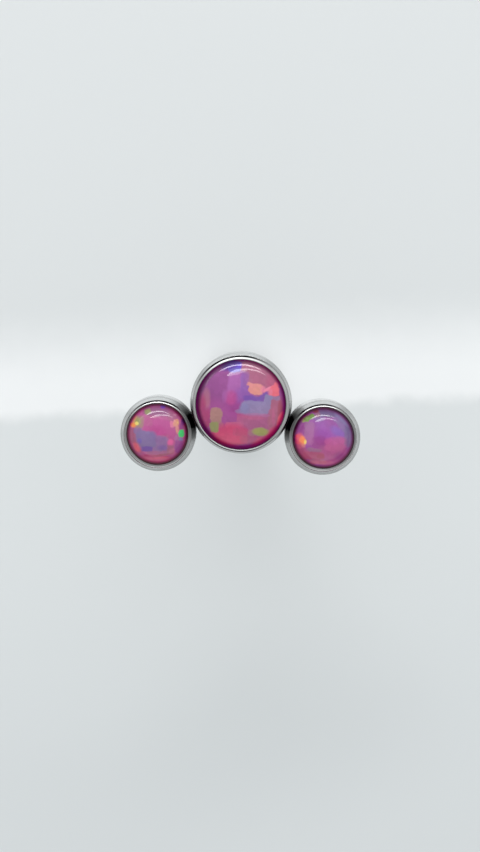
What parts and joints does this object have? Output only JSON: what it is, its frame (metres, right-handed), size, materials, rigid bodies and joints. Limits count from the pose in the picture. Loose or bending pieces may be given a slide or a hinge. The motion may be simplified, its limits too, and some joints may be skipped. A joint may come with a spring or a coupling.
{
  "type": "labret stud",
  "caption": "Flat-back piercing stud with a hollow post that holds a curved row of round bezel-set opal cabochons.",
  "frame": {"origin": "centre of the flat back's underside, on the post's axis, where the stud stands", "axes": "+Z along the post towards the stones, +X towards the right side stone and +Y away from the side stones, up in the picture"},
  "size_m": [0.0078, 0.004, 0.009],
  "materials": {
    "polished_titanium": "turned and mirror-polished titanium",
    "pink_opal": "glossy lavender-pink opal with patches of play-of-colour"
  },
  "bodies": {
    "root": {"setting": "polished_titanium", "opal_centre": "pink_opal", "opal_left": "pink_opal", "opal_right": "pink_opal", "labret_post": "polished_titanium"}
  },
  "joints": []
}
